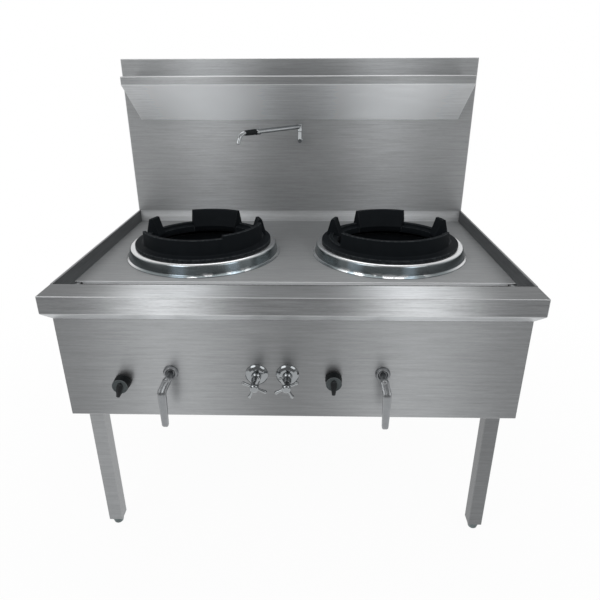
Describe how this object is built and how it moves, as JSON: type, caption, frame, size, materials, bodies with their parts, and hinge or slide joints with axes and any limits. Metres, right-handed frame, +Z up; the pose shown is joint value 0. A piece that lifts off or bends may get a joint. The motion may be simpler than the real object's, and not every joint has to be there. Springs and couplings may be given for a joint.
{
  "type": "wok range",
  "caption": "Free-standing sheet-steel gas wok range: cast wok rings in polished collars, front gutter, splashback with shelf, swing faucet, pilot knobs, cross-handle taps and knee levers.",
  "frame": {"origin": "centre of the base of the bounding box, on the floor", "axes": "+X to the operator's right, +Y from the operator to the splashback, +Z up"},
  "size_m": [1.2, 0.899, 1.317],
  "materials": {
    "brushed_steel": "brushed along the width, satin",
    "polished_steel": "polished",
    "chrome": "bright chrome plate",
    "dull_chrome": "worn, dull chrome plate",
    "cast_iron": "matt black, as cast",
    "black_plastic": "matt black",
    "brass": "as machined",
    "copper": "drawn copper tube",
    "pipe_steel": "drawn steel pipe",
    "foot_steel": "dull grey"
  },
  "bodies": {
    "root": {"front_rim": "brushed_steel", "side_rim_left": "brushed_steel", "side_rim_right": "brushed_steel", "deck_plate": "brushed_steel", "front_gutter": "brushed_steel", "front_panel": "brushed_steel", "side_panel_left": "brushed_steel", "side_panel_right": "brushed_steel", "back_panel": "brushed_steel", "splashback_skin": "brushed_steel", "splashback_cover": "brushed_steel", "shelf": "brushed_steel", "leg_front_left": "brushed_steel", "leg_front_right": "brushed_steel", "leg_rear_left": "brushed_steel", "leg_rear_right": "brushed_steel", "frame_rail_front": "brushed_steel", "frame_rail_rear": "brushed_steel", "burner_collar_left": "polished_steel", "burner_collar_right": "polished_steel", "combustion_pot_left": "cast_iron", "combustion_pot_right": "cast_iron", "burner_left": "cast_iron", "burner_right": "cast_iron", "gas_manifold": "pipe_steel", "lever_valve_left": "brass", "lever_valve_right": "brass", "pilot_valve_left": "brass", "pilot_valve_right": "brass", "pilot_tube_left": "copper", "pilot_tube_right": "copper", "lever_flange_left": "dull_chrome", "lever_flange_right": "dull_chrome", "tap_body_left": "chrome", "tap_body_right": "chrome", "tap_escutcheon_left": "chrome", "tap_escutcheon_right": "chrome", "faucet_riser": "chrome", "faucet_water_pipe": "copper", "gutter_water_pipe": "copper", "water_supply_pipe": "copper"},
    "spindle_left": {"knob_spindle_left": "brass"},
    "spindle_right": {"knob_spindle_right": "brass"},
    "knob_left": {"control_knob_left": "black_plastic"},
    "knob_right": {"control_knob_right": "black_plastic"},
    "lever_left": {"knee_lever_left": "dull_chrome"},
    "lever_right": {"knee_lever_right": "dull_chrome"},
    "tap_left": {"tap_handle_left": "chrome"},
    "tap_right": {"tap_handle_right": "chrome"},
    "ring_left": {"wok_ring_left": "cast_iron"},
    "ring_right": {"wok_ring_right": "cast_iron"},
    "faucet": {"faucet_arm": "chrome", "faucet_grip": "black_plastic", "faucet_spout": "chrome"},
    "foot_fl": {"foot_front_left": "foot_steel"},
    "foot_fr": {"foot_front_right": "foot_steel"},
    "foot_rl": {"foot_rear_left": "foot_steel"},
    "foot_rr": {"foot_rear_right": "foot_steel"}
  },
  "joints": [
    {"name": "knob_turn_left", "type": "hinge", "parent": "root", "child": "spindle_left", "pos_m": [-0.43, -0.3795, 0.558], "axis": [0, -1, 0], "range_deg": [0, 90]},
    {"name": "knob_turn_right", "type": "hinge", "parent": "root", "child": "spindle_right", "pos_m": [0.106, -0.3795, 0.571], "axis": [0, -1, 0], "range_deg": [0, 90]},
    {"name": "knob_press_left", "type": "slide", "parent": "spindle_left", "child": "knob_left", "axis": [0, 1, 0], "range_m": [0, 0.004], "stiffness_N_per_m": 600, "springref_m": -0.003},
    {"name": "knob_press_right", "type": "slide", "parent": "spindle_right", "child": "knob_right", "axis": [0, 1, 0], "range_m": [0, 0.004], "stiffness_N_per_m": 600, "springref_m": -0.003},
    {"name": "lever_swing_left", "type": "hinge", "parent": "root", "child": "lever_left", "pos_m": [-0.305, -0.3795, 0.585], "axis": [0, -1, 0], "range_deg": [0, 90]},
    {"name": "lever_swing_right", "type": "hinge", "parent": "root", "child": "lever_right", "pos_m": [0.229, -0.3795, 0.585], "axis": [0, -1, 0], "range_deg": [0, 90]},
    {"name": "tap_turn_left", "type": "hinge", "parent": "root", "child": "tap_left", "pos_m": [-0.088, -0.3795, 0.58], "axis": [0, -1, 0], "range_deg": [0, 180]},
    {"name": "tap_turn_right", "type": "hinge", "parent": "root", "child": "tap_right", "pos_m": [-0.01, -0.3795, 0.58], "axis": [0, -1, 0], "range_deg": [0, 180]},
    {"name": "ring_lift_left", "type": "slide", "parent": "root", "child": "ring_left", "axis": [0, 0, 1], "range_m": [0, 0.13]},
    {"name": "ring_lift_right", "type": "slide", "parent": "root", "child": "ring_right", "axis": [0, 0, 1], "range_m": [0, 0.13]},
    {"name": "faucet_swing", "type": "hinge", "parent": "root", "child": "faucet", "pos_m": [0.005, 0.3695, 1.104], "axis": [0, 0, 1], "range_deg": [-45, 125]},
    {"name": "foot_adjust_front_left", "type": "slide", "parent": "root", "child": "foot_fl", "axis": [0, 0, -1], "range_m": [0, 0.025]},
    {"name": "foot_adjust_front_right", "type": "slide", "parent": "root", "child": "foot_fr", "axis": [0, 0, -1], "range_m": [0, 0.025]},
    {"name": "foot_adjust_rear_left", "type": "slide", "parent": "root", "child": "foot_rl", "axis": [0, 0, -1], "range_m": [0, 0.025]},
    {"name": "foot_adjust_rear_right", "type": "slide", "parent": "root", "child": "foot_rr", "axis": [0, 0, -1], "range_m": [0, 0.025]}
  ]
}
